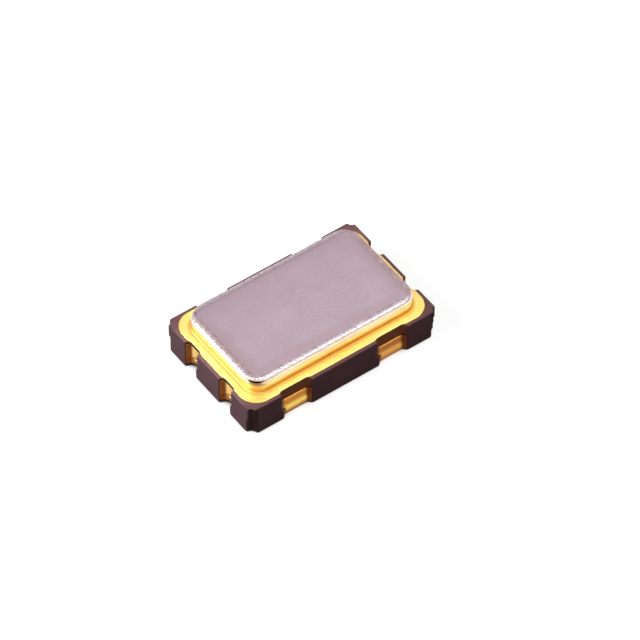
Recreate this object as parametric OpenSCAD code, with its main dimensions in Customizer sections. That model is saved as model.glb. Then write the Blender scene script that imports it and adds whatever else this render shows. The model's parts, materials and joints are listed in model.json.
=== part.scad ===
// Surface-mount crystal oscillator in a seam-welded ceramic package.
// Millimetres. X runs along the package, Z up. The origin lies under the middle of the
// package, in the plane of its solder pads.

/* [Ceramic base] */
// Length of the base
base_l = 5.0; // [4.6:0.1:6.0]
// Width of the base
base_w = 3.2; // [3.0:0.1:4.2]
// Thickness of the bottom sheet, the cavity's floor
floor_t = 0.22; // [0.16:0.02:0.36]
// Thickness of the second sheet, whose top is the bonding ledge
ledge_t = 0.22; // [0.20:0.02:0.36]
// Thickness of the third sheet, which has the crystal's shelf
shelf_t = 0.24; // [0.20:0.02:0.36]
// Thickness of the top sheet, the seal frame
frame_t = 0.10; // [0.06:0.02:0.20]
// Width of the ceramic wall round the cavity
wall = 0.75; // [0.65:0.01:0.80]
// Corner radius of the cavity
cavity_r = 0.15; // [0.06:0.01:0.25]
// Width of the bonding ledge on each side of the chip's well
ledge_w = 0.25; // [0.20:0.01:0.28]
// Radius of the corner notches in the two lower sheets
corner_low_r = 0.17; // [0.10:0.01:0.25]
// Radius of the corner notches in the two upper sheets
corner_top_r = 0.12; // [0.06:0.01:0.20]

/* [Castellations] */
// Distance between the two terminals of one long side
term_pitch = 2.54; // [2.20:0.02:2.80]
// Width of a long-side castellation
slot_w = 0.80; // [0.50:0.05:0.95]
// Depth of a long-side castellation, and of every notch in the top sheet
slot_d = 0.12; // [0.10:0.01:0.18]
// Inner corner radius of a long-side castellation
slot_r = 0.10; // [0.04:0.01:0.10]
// Distance between the two castellations of one short side
test_pitch = 1.27; // [1.10:0.01:1.40]
// Radius of a short-side castellation
test_r = 0.22; // [0.16:0.01:0.28]
// How much narrower the castellations are in the bottom sheet
sheet_step = 0.06; // [0.02:0.01:0.10]

/* [Terminals] */
// Thickness of the plated metal
plate_t = 0.02; // [0.01:0.005:0.03]
// Length of a solder pad, along X
pad_l = 1.20; // [1.00:0.05:1.50]
// Width of a solder pad, along Y
pad_w = 0.90; // [0.70:0.05:1.10]
// Bare ceramic between a solder pad and the edge
pad_inset = 0.05; // [0.02:0.01:0.08]
// Corner radius of a solder pad
pad_r = 0.06; // [0.02:0.01:0.12]
// Corner cut that marks the first terminal's pad
index_cut = 0.25; // [0.15:0.05:0.40]
// Bare ceramic under the plating of a short-side castellation
test_foot = 0.10; // [0.04:0.01:0.14]

/* [Seal] */
// Bare ceramic outside the plated seal band
band_inset = 0.08; // [0.04:0.01:0.12]
// Outer corner radius of the seal band
band_r = 0.45; // [0.30:0.05:0.60]
// Bare ceramic between the seal band and the cavity
band_margin = 0.05; // [0.02:0.01:0.08]
// Distance from the base's edge to the ring
ring_inset = 0.30; // [0.24:0.01:0.34]
// Width of the ring's section
ring_w = 0.36; // [0.22:0.02:0.38]
// Height of the ring's section
ring_h = 0.27; // [0.20:0.01:0.40]
// Outer corner radius of the ring
ring_r = 0.36; // [0.25:0.01:0.50]
// Inner corner radius of the ring
ring_in_r = 0.20; // [0.14:0.01:0.30]
// Thickness of the brazing alloy under the ring
braze_t = 0.02; // [0.01:0.005:0.03]
// Height and reach of the brazing fillets
braze_leg = 0.05; // [0.04:0.005:0.06]

/* [Lid] */
// Thickness of the lid
lid_t = 0.10; // [0.08:0.01:0.15]
// Distance from the ring's edge to the lid's
lid_inset = 0.01; // [0.005:0.005:0.04]
// Corner radius of the lid
lid_r = 0.42; // [0.34:0.01:0.60]
// Width of the weld track round the lid's border
weld_w = 0.15; // [0.13:0.01:0.18]
// Fall of the weld track from its inner line to the lid's rounded edge
weld_fall = 0.014; // [0.008:0.002:0.020]
// Radius of the lid's melted edge
edge_r = 0.04; // [0.03:0.005:0.05]
// Distance between two ripples of the weld
ripple_pitch = 0.18; // [0.14:0.01:0.26]
// Depth of a ripple
ripple_d = 0.010; // [0.004:0.001:0.012]

/* [Chip] */
// Length of the oscillator chip
chip_l = 1.30; // [1.10:0.05:1.60]
// Width of the oscillator chip
chip_w = 0.90; // [0.80:0.05:1.00]
// Thickness of the oscillator chip
chip_t = 0.15; // [0.10:0.01:0.18]
// Gap between the chip's ends and its well
well_gap = 0.12; // [0.08:0.01:0.20]
// Bare ceramic round the metallised pad of the well
chip_pad_margin = 0.03; // [0.01:0.01:0.05]
// Thickness of the die adhesive
glue_t = 0.02; // [0.01:0.005:0.03]
// Reach of the die adhesive past the chip
glue_reach = 0.03; // [0.01:0.01:0.05]
// Side of a bond pad
bond_pad = 0.09; // [0.07:0.01:0.11]
// Thickness of a bond pad
bond_pad_t = 0.005; // [0.003:0.001:0.008]
// Distance between bond pads
bond_pitch = 0.42; // [0.30:0.01:0.48]
// Distance from a bond pad's middle to the chip's edge
bond_inset = 0.09; // [0.07:0.01:0.12]
// Distance between bonding fingers
finger_pitch = 0.46; // [0.36:0.01:0.60]
// Width of a bonding finger
finger_w = 0.22; // [0.12:0.01:0.28]
// Bare ceramic at the ends of a bonding finger
finger_margin = 0.03; // [0.01:0.01:0.05]
// Diameter of a bond wire
wire_d = 0.03; // [0.018:0.002:0.036]
// Height of a bond wire's loop over the bonding ledge
wire_rise = 0.10; // [0.06:0.01:0.14]

/* [Crystal] */
// Length of the quartz blank
blank_l = 2.60; // [2.20:0.05:2.90]
// Width of the quartz blank
blank_w = 1.30; // [1.05:0.05:1.40]
// Thickness of the quartz blank
blank_t = 0.06; // [0.04:0.01:0.10]
// Gap between the blank's held end and the cavity wall
blank_gap = 0.15; // [0.08:0.01:0.20]
// Length of the shelf that holds the blank
shelf_l = 0.55; // [0.50:0.01:0.75]
// Thickness of an electrode
electrode_t = 0.005; // [0.003:0.001:0.008]
// Length of an electrode
electrode_l = 1.50; // [1.20:0.05:1.60]
// Width of an electrode
electrode_w = 0.95; // [0.80:0.05:1.00]
// Width of an electrode's tab
tab_w = 0.26; // [0.20:0.01:0.34]
// Radius of an adhesive dot
dot_r = 0.12; // [0.08:0.01:0.13]
// Thickness of an adhesive dot
dot_t = 0.05; // [0.03:0.01:0.08]
// Side of a crystal pad
mount_pad = 0.34; // [0.28:0.01:0.38]

/* [Hidden] */
$fn = 48;

// Heights of the sheets and of what stands on them, from the solder plane up
z_base = plate_t;
z_floor = z_base + floor_t;
z_ledge = z_floor + ledge_t;
z_shelf = z_ledge + shelf_t;
z_top = z_shelf + frame_t;
z_band = z_top + plate_t;
z_ring = z_band + braze_t;
z_lid = z_ring + ring_h;

// Cavity, and the well in its floor that the chip lies in
cavity_l = base_l - 2 * wall;
cavity_w = base_w - 2 * wall;
well_l = chip_l + 2 * well_gap;
well_w = cavity_w - 2 * ledge_w;
chip_x = shelf_l / 2;
z_glue = z_floor + plate_t;
z_chip = z_glue + glue_t;
z_bond = z_chip + chip_t;

// Ring and lid
ring_l = base_l - 2 * ring_inset;
ring_b = base_w - 2 * ring_inset;
lid_l = ring_l - 2 * lid_inset;
lid_b = ring_b - 2 * lid_inset;
braze_lip = 0.008;
groove_w = 0.03;
groove_d = ripple_d + weld_fall / 4;
edge_steps = 5;
ripple_flats = 2;

// Crystal: the blank lies on two dots at the cavity's -X end
blank_x = (blank_l - cavity_l) / 2 + blank_gap;
dot_x = blank_x - blank_l / 2 + dot_r + 0.03;
dot_y = blank_w / 2 - dot_r - 0.03;
z_dot = z_shelf + plate_t;
z_blank = z_dot + dot_t + electrode_t;

// How far a cutting shape reaches past the face it cuts
over = 0.1;
// Sides and rings of a bond wire
wire_sides = 8;
wire_rings = 14;

// Rectangle with round corners, centred
module round_rect(l, w, r) {
  square([l - 2 * r, w], center = true);
  square([l, w - 2 * r], center = true);
  for (x = [-1, 1], y = [-1, 1])
    translate([x * (l / 2 - r), y * (w / 2 - r)])
      circle(r);
}

// Plate with that outline, from z upwards
module plate(l, w, r, z, t) {
  translate([0, 0, z])
    linear_extrude(t)
      round_rect(l, w, r);
}

// Sweeps a section round a rounded rectangle. The section's x points outwards from the outline.
module sweep_round_rect(l, w, r) {
  run_x = l / 2 - r;
  run_y = w / 2 - r;
  for (side = [-1, 1]) {
    translate([-side * run_x, side * w / 2, 0])
      rotate([90, 0, side * 90])
        linear_extrude(2 * run_x)
          children();
    translate([side * l / 2, side * run_y, 0])
      rotate([90, 0, 90 - side * 90])
        linear_extrude(2 * run_y)
          children();
  }
  for (corner = [0 : 3])
    translate([(corner % 3 == 0 ? 1 : -1) * run_x, (corner < 2 ? 1 : -1) * run_y, 0])
      rotate(corner * 90)
        rotate_extrude(angle = 90)
          translate([r, 0])
            children();
}

// Slot cut into an edge that lies along X: it reaches to +Y by d and has round inner corners
module edge_slot(w, d, r) {
  translate([-w / 2, -over])
    square([w, over + d - r]);
  translate([r - w / 2, -over])
    square([w - 2 * r, over + d]);
  for (x = [-1, 1])
    translate([x * (w / 2 - r), d - r])
      circle(r);
}

// Half-round notch in such an edge
module edge_round(r) {
  translate([-r, -over])
    square([2 * r, over]);
  rotate(-90)
    circle(r);
}

// Outline of a long-side castellation. low picks the bottom sheet's, skin draws it in.
module long_slot(x, y, low, skin) {
  step = low ? sheet_step : 0;
  translate([x * term_pitch / 2 + step / 2, y * base_w / 2])
    rotate(90 + y * 90)
      edge_slot(slot_w - step - 2 * skin, slot_d - skin, slot_r - skin);
}

// Outline of a short-side castellation. The bottom sheet's is smaller and lies off centre.
module short_slot(x, y, low, skin) {
  step = low ? sheet_step : 0;
  translate([x * base_l / 2, y * test_pitch / 2 + step / 3])
    rotate(x * 90)
      edge_round(test_r - step / 2 - skin);
}

// Outline of the notch that the top sheet has over a short-side castellation
module frame_slot(x, y) {
  translate([x * base_l / 2, y * test_pitch / 2])
    rotate(x * 90)
      edge_slot(2 * test_r, slot_d, slot_r);
}

// Outline of one ceramic sheet with its corner and long-side notches. The children are cut too.
module sheet(corner_r, low) {
  difference() {
    square([base_l, base_w], center = true);
    for (x = [-1, 1], y = [-1, 1]) {
      translate([x * base_l / 2, y * base_w / 2])
        rotate(atan2(y, x))
          circle(corner_r);
      long_slot(x, y, low, 0);
    }
    children();
  }
}

module ceramic_base() {
  color("#3b2b2e") {
    translate([0, 0, z_base])
      linear_extrude(floor_t)
        sheet(corner_low_r, true)
          for (x = [-1, 1], y = [-1, 1])
            short_slot(x, y, true, 0);
    translate([0, 0, z_floor])
      linear_extrude(ledge_t)
        sheet(corner_low_r, false) {
          for (x = [-1, 1], y = [-1, 1])
            short_slot(x, y, false, 0);
          translate([chip_x, 0])
            round_rect(well_l, well_w, cavity_r);
        }
    translate([0, 0, z_ledge])
      linear_extrude(shelf_t)
        sheet(corner_top_r, false) {
          for (x = [-1, 1], y = [-1, 1])
            short_slot(x, y, false, 0);
          translate([shelf_l / 2, 0])
            round_rect(cavity_l - shelf_l, cavity_w, cavity_r);
        }
    translate([0, 0, z_shelf])
      linear_extrude(frame_t)
        sheet(corner_top_r, false) {
          for (x = [-1, 1], y = [-1, 1])
            frame_slot(x, y);
          round_rect(cavity_l, cavity_w, cavity_r);
        }
  }
}

// Part of an outline that lies within the base's edges
module within_base() {
  intersection() {
    square([base_l, base_w], center = true);
    children();
  }
}

// Solder pad with its castellation's lining, at the corner given by the signs x and y
module terminal(x, y, index) {
  pad_y = base_w / 2 - pad_inset - pad_w / 2;
  color("#d9a441") {
    linear_extrude(plate_t)
      difference() {
        translate([x * term_pitch / 2, y * pad_y])
          round_rect(pad_l, pad_w, pad_r);
        long_slot(x, y, true, plate_t);
        if (index)
          translate([x * (term_pitch - pad_l) / 2, y * (pad_y - pad_w / 2)])
            rotate(45)
              square(index_cut * sqrt(2), center = true);
      }
    linear_extrude(z_floor)
      within_base()
        difference() {
          long_slot(x, y, true, 0);
          long_slot(x, y, true, plate_t);
        }
    translate([0, 0, z_floor])
      linear_extrude(plate_t)
        within_base()
          difference() {
            long_slot(x, y, false, 0);
            long_slot(x, y, true, plate_t);
          }
    translate([0, 0, z_floor])
      linear_extrude(ledge_t)
        within_base()
          difference() {
            long_slot(x, y, false, 0);
            long_slot(x, y, false, plate_t);
          }
  }
}

// Lining of a short-side castellation
module test_terminal(x, y) {
  color("#d9a441") {
    translate([0, 0, z_base + test_foot])
      linear_extrude(floor_t - test_foot)
        within_base()
          difference() {
            short_slot(x, y, true, 0);
            short_slot(x, y, true, plate_t);
          }
    translate([0, 0, z_floor])
      linear_extrude(plate_t)
        within_base()
          difference() {
            short_slot(x, y, false, 0);
            short_slot(x, y, true, plate_t);
          }
    translate([0, 0, z_floor])
      linear_extrude(ledge_t + shelf_t)
        within_base()
          difference() {
            short_slot(x, y, false, 0);
            short_slot(x, y, false, plate_t);
          }
  }
}

module terminal_enable() {
  terminal(-1, -1, true);
}

module terminal_ground() {
  terminal(1, -1, false);
}

module terminal_output() {
  terminal(1, 1, false);
}

module terminal_supply() {
  terminal(-1, 1, false);
}

module test_terminal_1() {
  test_terminal(-1, -1);
}

module test_terminal_2() {
  test_terminal(-1, 1);
}

module test_terminal_3() {
  test_terminal(1, -1);
}

module test_terminal_4() {
  test_terminal(1, 1);
}

module seal_band() {
  color("#f0c75a")
    translate([0, 0, z_top])
      linear_extrude(plate_t)
        difference() {
          round_rect(base_l - 2 * band_inset, base_w - 2 * band_inset, band_r);
          round_rect(cavity_l + 2 * band_margin, cavity_w + 2 * band_margin,
            cavity_r + band_margin);
          for (x = [-1, 1], y = [-1, 1]) {
            long_slot(x, y, false, 0);
            frame_slot(x, y);
          }
        }
}

// Section of a concave fillet with its corner at the origin, reaching to +X and +Y. Its root
// runs on into the layer under the ring.
module fillet_section() {
  difference() {
    square(braze_leg);
    translate([braze_leg, braze_leg])
      circle(braze_leg - braze_lip);
  }
  translate([-braze_leg, 0])
    square([braze_leg + braze_lip, braze_t]);
}

module braze_joint() {
  color("#cf9136")
    translate([0, 0, z_band]) {
      linear_extrude(braze_t)
        difference() {
          round_rect(ring_l, ring_b, ring_r);
          round_rect(ring_l - 2 * ring_w, ring_b - 2 * ring_w, ring_in_r);
        }
      sweep_round_rect(ring_l, ring_b, ring_r)
        fillet_section();
      sweep_round_rect(ring_l - 2 * ring_w, ring_b - 2 * ring_w, ring_in_r)
        mirror([1, 0])
          fillet_section();
    }
}

module seal_ring() {
  color("#e8c06a")
    translate([0, 0, z_ring])
      linear_extrude(ring_h)
        difference() {
          round_rect(ring_l, ring_b, ring_r);
          round_rect(ring_l - 2 * ring_w, ring_b - 2 * ring_w, ring_in_r);
        }
}

// Section of the lid's border: a groove along the weld's inner line, the sloping weld track,
// and the melted edge
module border_section() {
  track_end = lid_t - weld_fall;
  polygon(concat(
    [[0, 0], [0, lid_t], [groove_w / 2, lid_t - groove_d], [groove_w, lid_t - groove_d / 3]],
    [for (i = [0 : edge_steps])
      [weld_w - edge_r + edge_r * sin(90 * i / edge_steps),
        track_end - edge_r + edge_r * cos(90 * i / edge_steps)]],
    [[weld_w, 0]]));
}

// Cutter that presses one ripple into the track. It lies across the track, whose outer edge is
// at the origin, with outwards along +X, and its underside is a shallow curve of flats.
module ripple_cutter() {
  half = 0.45 * ripple_pitch;
  lift = ripple_d / 4;
  run = weld_w - edge_r - groove_w;
  slope = atan((weld_fall - groove_d / 3) / run);
  translate([-edge_r, 0, lid_t - weld_fall])
    rotate([90, slope, 90])
      translate([0, 0, -run - groove_w / 2])
        linear_extrude(run + groove_w / 2 + 2 * edge_r)
          polygon(concat(
            [for (i = [-ripple_flats : ripple_flats])
              [half * i / ripple_flats, (ripple_d + lift) * pow(i / ripple_flats, 2) - ripple_d]],
            [[half, 3 * ripple_d], [-half, 3 * ripple_d]]));
}

// Places the children along the lid's four sides and round its corners
module along_border() {
  run_x = lid_l / 2 - lid_r;
  run_y = lid_b / 2 - lid_r;
  count_x = floor(2 * run_x / ripple_pitch);
  count_y = floor(2 * run_y / ripple_pitch);
  count_r = floor(PI / 2 * lid_r / ripple_pitch);
  for (side = [-1, 1]) {
    for (i = [0 : count_x - 1])
      translate([(i + 0.5 - count_x / 2) * ripple_pitch, side * lid_b / 2, 0])
        rotate(side * 90)
          children();
    for (i = [0 : count_y - 1])
      translate([side * lid_l / 2, (i + 0.5 - count_y / 2) * ripple_pitch, 0])
        rotate(90 - side * 90)
          children();
  }
  for (corner = [0 : 3])
    translate([(corner % 3 == 0 ? 1 : -1) * run_x, (corner < 2 ? 1 : -1) * run_y, 0])
      for (i = [0 : count_r - 1])
        rotate(corner * 90 + (i + 0.5) * 90 / count_r)
          translate([lid_r, 0, 0])
            children();
}

module lid() {
  inner_l = lid_l - 2 * weld_w;
  inner_b = lid_b - 2 * weld_w;
  inner_r = lid_r - weld_w;
  color("#b9a5ae")
    translate([0, 0, z_lid])
      difference() {
        union() {
          plate(inner_l, inner_b, inner_r, 0, lid_t);
          sweep_round_rect(inner_l, inner_b, inner_r)
            border_section();
        }
        along_border()
          ripple_cutter();
      }
}

module chip_pad() {
  color("#d9a441")
    translate([chip_x, 0, z_floor])
      linear_extrude(plate_t)
        round_rect(well_l - 2 * chip_pad_margin, well_w - 2 * chip_pad_margin,
          cavity_r - chip_pad_margin);
}

module chip_adhesive() {
  color("#c8c8cc")
    translate([chip_x, 0, z_glue])
      linear_extrude(glue_t)
        round_rect(chip_l + 2 * glue_reach, chip_w + 2 * glue_reach, glue_reach);
}

module oscillator_chip() {
  color("#5c6470")
    translate([chip_x - chip_l / 2, -chip_w / 2, z_chip])
      cube([chip_l, chip_w, chip_t]);
}

// Middle of the bond pad in column i and row side, and of the finger that it is wired to
function pad_at(i, side) = [chip_x + i * bond_pitch, side * (chip_w / 2 - bond_inset), z_bond + bond_pad_t];
function finger_at(i, side) = [chip_x + i * finger_pitch, side * (cavity_w - ledge_w) / 2, z_ledge + plate_t];

module chip_bond_pads() {
  color("#c9ccd2")
    for (i = [-1 : 1], side = [-1, 1])
      translate(pad_at(i, side) - [bond_pad / 2, bond_pad / 2, bond_pad_t])
        cube([bond_pad, bond_pad, bond_pad_t]);
}

module bond_fingers() {
  finger_l = ledge_w - 2 * finger_margin;
  color("#d9a441")
    for (i = [-1 : 1], side = [-1, 1])
      translate(finger_at(i, side) - [finger_w / 2, finger_l / 2, plate_t])
        cube([finger_w, finger_l, plate_t]);
}

// Point at share t of a cubic curve from a to d, with handles b and c
function cubic(a, b, c, d, t) =
  pow(1 - t, 3) * a + 3 * pow(1 - t, 2) * t * b + 3 * (1 - t) * t * t * c + pow(t, 3) * d;

// Direction of that curve
function cubic_way(a, b, c, d, t) =
  pow(1 - t, 2) * (b - a) + 2 * (1 - t) * t * (c - b) + t * t * (d - c);

function unit(v) = v / norm(v);

// Ball-bonded wire from a chip pad up, over and down onto its finger
module bond_wire(i, side) {
  wire_r = wire_d / 2;
  ball_h = wire_d * 0.6;
  start = pad_at(i, side) + [0, 0, ball_h];
  end = finger_at(i, side) + [0, 0, wire_r];
  across = [end.x - start.x, end.y - start.y, 0];
  top_z = z_ledge + wire_rise;
  lift = [start.x, start.y, start.z + (top_z - start.z) * 4 / 3];
  drop = [end.x, end.y, end.z] - across * 0.55;
  aside = unit([-across.y, across.x, 0]);
  points = [for (k = [0 : wire_rings])
    let (t = k / wire_rings, middle = cubic(start, lift, drop, end, t),
      up = cross(aside, unit(cubic_way(start, lift, drop, end, t))))
    for (s = [0 : wire_sides - 1])
      let (a = 360 * (s + 0.5) / wire_sides)
      middle + wire_r * (cos(a) * aside + sin(a) * up)];
  last = wire_rings * wire_sides;
  faces = concat(
    [[for (s = [0 : wire_sides - 1]) s]],
    [for (k = [0 : wire_rings - 1], s = [0 : wire_sides - 1])
      let (n = (s + 1) % wire_sides, b = k * wire_sides)
      [b + s, b + wire_sides + s, b + wire_sides + n, b + n]],
    [[for (s = [wire_sides - 1 : -1 : 0]) last + s]]);
  color("#e6b84f") {
    polyhedron(points, faces);
    translate(pad_at(i, side))
      cylinder(d = wire_d * 2.2, h = ball_h + wire_r / 2);
  }
}

module wire_enable() {
  bond_wire(-1, -1);
}

module wire_ground() {
  bond_wire(1, -1);
}

module wire_output() {
  bond_wire(1, 1);
}

module wire_supply() {
  bond_wire(0, 1);
}

module wire_crystal_1() {
  bond_wire(0, -1);
}

module wire_crystal_2() {
  bond_wire(-1, 1);
}

// Metallised pad on the shelf, under the blank's corner on the side given
module crystal_pad(side) {
  color("#d9a441")
    translate([dot_x - mount_pad / 2, side * dot_y - mount_pad / 2, z_shelf])
      cube([mount_pad, mount_pad, plate_t]);
}

// Bulged dot of conductive adhesive between a pad and the blank
module adhesive_dot(side) {
  bulge = dot_t / 4;
  bulge_r = (dot_t * dot_t / 4 + bulge * bulge) / (2 * bulge);
  color("#b8b9bd")
    translate([dot_x, side * dot_y, z_dot])
      rotate_extrude()
        intersection() {
          square([dot_r, dot_t]);
          union() {
            square([dot_r - bulge, dot_t]);
            translate([dot_r - bulge_r, dot_t / 2])
              circle(bulge_r);
          }
        }
}

module crystal_pad_1() {
  crystal_pad(-1);
}

module crystal_pad_2() {
  crystal_pad(1);
}

module adhesive_dot_1() {
  adhesive_dot(-1);
}

module adhesive_dot_2() {
  adhesive_dot(1);
}

module crystal_blank() {
  color([0.80, 0.86, 0.88, 0.6])
    translate([blank_x - blank_l / 2, -blank_w / 2, z_blank])
      cube([blank_l, blank_w, blank_t]);
}

// Outline of an electrode and the tab that leads to its dot
module electrode_outline(side) {
  left = blank_x - blank_l / 2;
  translate([blank_x, 0])
    round_rect(electrode_l, electrode_w, 0.1);
  translate([left, side * dot_y - tab_w / 2])
    square([blank_l / 2 - electrode_l / 4, tab_w]);
}

module electrode_top() {
  left = blank_x - blank_l / 2;
  color("#d8d9dd") {
    translate([0, 0, z_blank + blank_t])
      linear_extrude(electrode_t)
        electrode_outline(-1);
    translate([left - electrode_t, tab_w / 2 - dot_y, z_blank - electrode_t])
      rotate([90, 0, 0])
        linear_extrude(tab_w)
          difference() {
            square([2 * dot_r + electrode_t, blank_t + 2 * electrode_t]);
            translate([electrode_t, electrode_t])
              square([2 * dot_r + over, blank_t]);
          }
  }
}

module electrode_bottom() {
  color("#d8d9dd")
    translate([0, 0, z_blank - electrode_t])
      linear_extrude(electrode_t)
        electrode_outline(1);
}

ceramic_base();
terminal_enable();
terminal_ground();
terminal_output();
terminal_supply();
test_terminal_1();
test_terminal_2();
test_terminal_3();
test_terminal_4();
seal_band();
braze_joint();
seal_ring();
lid();
chip_pad();
chip_adhesive();
oscillator_chip();
chip_bond_pads();
bond_fingers();
wire_enable();
wire_ground();
wire_output();
wire_supply();
wire_crystal_1();
wire_crystal_2();
crystal_pad_1();
crystal_pad_2();
adhesive_dot_1();
adhesive_dot_2();
crystal_blank();
electrode_top();
electrode_bottom();
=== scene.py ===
import json
import math

import bpy
import numpy as np
from mathutils import Matrix, Vector, noise
from mathutils.geometry import tessellate_polygon


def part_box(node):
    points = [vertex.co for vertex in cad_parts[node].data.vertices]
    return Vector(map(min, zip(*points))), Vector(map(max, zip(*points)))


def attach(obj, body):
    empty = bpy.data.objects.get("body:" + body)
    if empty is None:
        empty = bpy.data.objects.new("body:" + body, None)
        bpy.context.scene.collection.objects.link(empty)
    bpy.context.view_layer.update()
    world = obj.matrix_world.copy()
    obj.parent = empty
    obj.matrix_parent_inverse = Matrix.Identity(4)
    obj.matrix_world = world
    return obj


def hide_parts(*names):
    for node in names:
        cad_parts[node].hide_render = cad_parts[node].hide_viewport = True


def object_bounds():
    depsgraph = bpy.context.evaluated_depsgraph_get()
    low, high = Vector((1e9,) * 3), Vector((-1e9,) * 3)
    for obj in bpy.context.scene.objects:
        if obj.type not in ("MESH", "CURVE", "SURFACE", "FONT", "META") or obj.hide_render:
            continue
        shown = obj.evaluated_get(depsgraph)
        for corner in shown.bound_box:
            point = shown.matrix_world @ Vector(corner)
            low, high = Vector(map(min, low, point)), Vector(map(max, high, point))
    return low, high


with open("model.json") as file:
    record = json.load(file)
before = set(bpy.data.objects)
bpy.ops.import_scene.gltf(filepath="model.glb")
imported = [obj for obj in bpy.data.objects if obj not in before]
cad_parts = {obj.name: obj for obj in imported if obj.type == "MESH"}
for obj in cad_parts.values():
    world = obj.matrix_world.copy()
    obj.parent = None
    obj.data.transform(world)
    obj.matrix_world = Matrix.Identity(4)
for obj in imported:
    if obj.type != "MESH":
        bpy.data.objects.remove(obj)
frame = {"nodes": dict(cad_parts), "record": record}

MM = 0.001
cad_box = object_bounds()


# ---------- sizes from the frame

def box_mm(node):
    """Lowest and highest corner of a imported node, in millimetres."""
    return np.array(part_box(node)) / MM


def span(node):
    """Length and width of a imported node."""
    low, high = box_mm(node)
    return (high - low)[:2]


def heights(node):
    """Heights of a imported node's bottom and top."""
    return box_mm(node)[:, 2]


def middle_x(node):
    """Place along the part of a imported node's middle."""
    return box_mm(node)[:, 0].mean()


BASE_L, BASE_W = span("ceramic_base")
BAND_L, BAND_W = span("seal_band")
RING_L, RING_W = span("seal_ring")
LID_L, LID_W = span("lid")
PAD_L = span("terminal_ground")[0]
TERM_X, CHIP_X = middle_x("terminal_ground"), middle_x("chip_pad")
Z_BASE, Z_TOP = heights("ceramic_base")
Z_BAND = heights("seal_band")[1]
Z_RING, Z_LID = heights("seal_ring")
Z_LEDGE = heights("terminal_ground")[1]
Z_TEST_LOW, Z_TEST_HIGH = heights("test_terminal_1")

# Sizes that no box gives, as in the part's source
PLATE_T = 0.02
SHEET_STEP = 0.06
CORNER_LOW_R, CORNER_TOP_R = 0.17, 0.12
LONG_W, LONG_D, LONG_R = 0.8, 0.12, 0.1
TEST_PITCH, TEST_R = 1.27, 0.22
CAVITY_L, CAVITY_W, CAVITY_R = 3.5, 1.7, 0.15
WELL_L, WELL_W = 1.54, 1.2
SHELF_L = 0.55
BAND_R, BAND_MARGIN = 0.45, 0.05
RING_R, RING_IN_R, RING_SECTION = 0.36, 0.2, 0.36
LID_R, WELD_W = 0.42, 0.15
PAD_W, PAD_INSET, INDEX_CUT = 0.9, 0.05, 0.25
Z_FLOOR = Z_BASE + 0.22
Z_SHELF = Z_TOP - 0.1


# ---------- outlines and meshes

SIDES = [(1, 0), (0, 1), (-1, 0), (0, -1)]
SEED_SHIFT = (13.1, -7.7, 3.3)

# Points on an end, a notch and the middle of a short and of a long side, and on a corner
SHORT_COUNTS, LONG_COUNTS, CORNER_COUNT = (40, 54, 56), (44, 72, 120), 22
# Points on a short side, a long side and a corner of the ring and the lid
FINE_COUNTS = (200, 400, 72)


def waves(points, *layers, z=0.0):
    """Smooth noise at each point, summed over layers of (height, size of a bump, seed)."""
    total = np.zeros(len(points))
    for height, size, seed in layers:
        places = np.insert(points, 2, z, axis=1) / size + np.multiply(SEED_SHIFT, seed)
        total += height * np.array([noise.noise(Vector(place)) for place in places])
    return total


def fade(values, start, end):
    """Share that goes from 0 at one value to 1 at another, and is held beyond them."""
    return np.clip((values - start) / (end - start), 0, 1)


def spot(points, x, y, radius):
    """Share that is 1 at a place and dies away over a radius."""
    return np.exp(-(np.hypot(points[:, 0] - x, points[:, 1] - y) / radius) ** 2)


def arc(cx, cy, r, start, end, count):
    """Points on an arc, angles in degrees, the last one left out."""
    angles = np.radians(np.linspace(start, end, count, endpoint=False))
    return np.stack([cx + r * np.cos(angles), cy + r * np.sin(angles)], 1)


def run(a, b, count):
    """Points on a straight line from a to b, the last one left out."""
    share = np.linspace(0, 1, count, endpoint=False)[:, None]
    return np.array(a) + share * (np.array(b) - np.array(a))


def spread(path, count):
    """`count` evenly spaced points along a polyline, the last one left out."""
    steps = np.hypot(*np.diff(path, axis=0).T)
    along = np.concatenate([[0], np.cumsum(steps)])
    wanted = np.linspace(0, along[-1], count, endpoint=False)
    return np.stack([np.interp(wanted, along, path[:, k]) for k in (0, 1)], 1)


def soften(loop, passes):
    """Rounds the corners of a closed outline, more with every pass."""
    for _ in range(passes):
        loop = 0.25 * np.roll(loop, 1, 0) + 0.5 * loop + 0.25 * np.roll(loop, -1, 0)
    return loop


def outward(loop):
    """Outward unit direction at each point of a counter-clockwise outline."""
    along = np.roll(loop, -1, 0) - np.roll(loop, 1, 0)
    away = np.stack([along[:, 1], -along[:, 0]], 1)
    return away / np.maximum(np.hypot(*away.T), 1e-9)[:, None]


def inset(loop, distance, passes=3):
    """An outline moved inwards, by one distance or one at each point, without folds."""
    return soften(loop - outward(loop) * np.reshape(distance, (-1, 1)), passes)


def rounded(length, width, r, counts, centre_x=0.0):
    """Rounded rectangle, counter-clockwise from the +X side's lower end.
    counts: points on a short side, on a long side and on a corner."""
    short_n, long_n, corner_n = counts
    x, y, cx, cy = length / 2, width / 2, length / 2 - r, width / 2 - r
    loop = np.concatenate([
        run((x, -cy), (x, cy), short_n), arc(cx, cy, r, 0, 90, corner_n),
        run((cx, y), (-cx, y), long_n), arc(-cx, cy, r, 90, 180, corner_n),
        run((-x, cy), (-x, -cy), short_n), arc(-cx, -cy, r, 180, 270, corner_n),
        run((-cx, -y), (cx, -y), long_n), arc(cx, -cy, r, 270, 360, corner_n)])
    return loop + (centre_x, 0)


def slot_path(middle, width, depth, r):
    """A slot in a side, in the side's own frame: along the side, and in from it."""
    left, right = middle - width / 2, middle + width / 2
    return np.concatenate([
        [(left, 0.0)], arc(left + r, depth - r, r, 180, 90, 8), [(left + r, depth)],
        arc(right - r, depth - r, r, 90, 0, 8), [(right, depth - r), (right, 0.0)]])


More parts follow.
